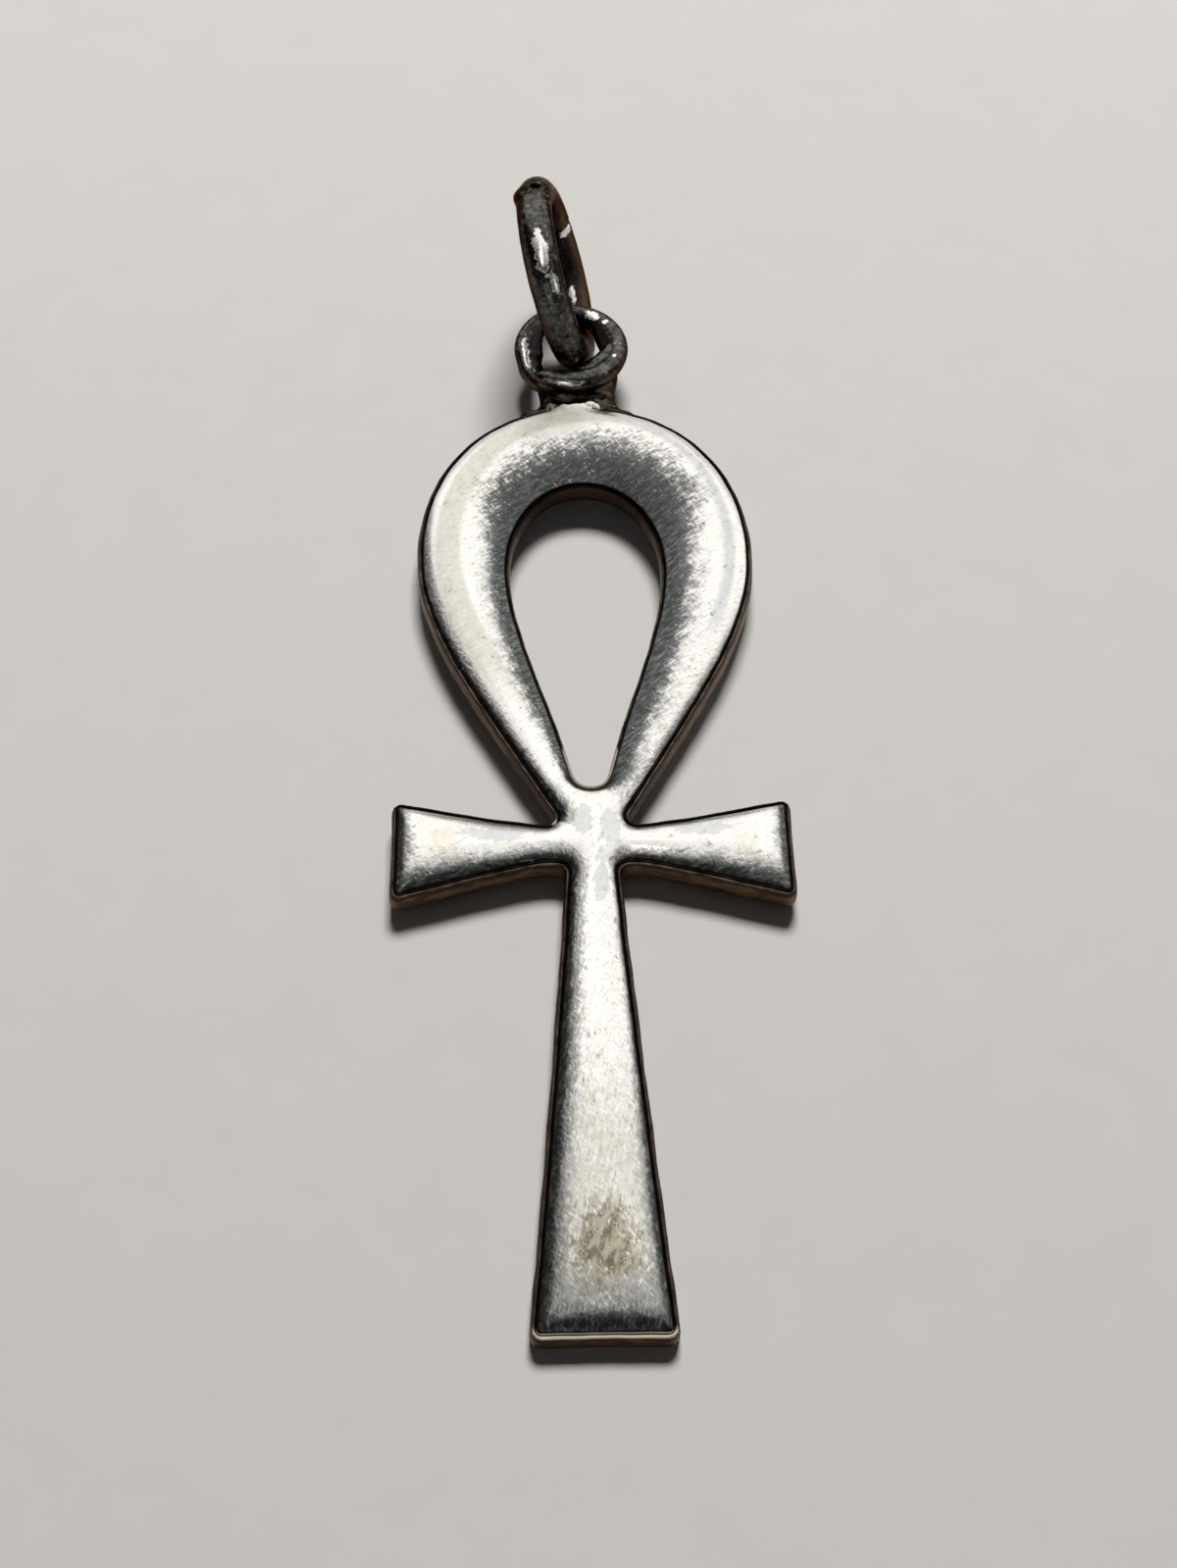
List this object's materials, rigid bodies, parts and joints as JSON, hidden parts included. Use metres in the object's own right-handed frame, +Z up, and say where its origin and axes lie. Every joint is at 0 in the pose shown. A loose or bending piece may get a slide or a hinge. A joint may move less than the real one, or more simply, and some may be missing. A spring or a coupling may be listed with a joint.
{
  "type": "ankh pendant",
  "caption": "Cast silver ankh pendant with a teardrop loop, flared arms and stem, a crowned front, a flat back, a soldered wire eye and a round-wire jump ring for a chain.",
  "frame": {"origin": "on the surface that the pendant lies on, under the middle of its whole length and of its arms' span", "axes": "+Y from the foot towards the jump ring, +X across the arms, +Z up out of the crowned front"},
  "size_m": [0.018, 0.061, 0.0097],
  "materials": {
    "silver": "worn cast silver, satin on the crowned front, with grey and brown tarnish in the low places and fine scratches",
    "dark_silver": "round silver wire, darkened and glossy, with brown tarnish"
  },
  "bodies": {
    "root": {"ankh": "silver", "jump_ring": "dark_silver"}
  },
  "joints": []
}
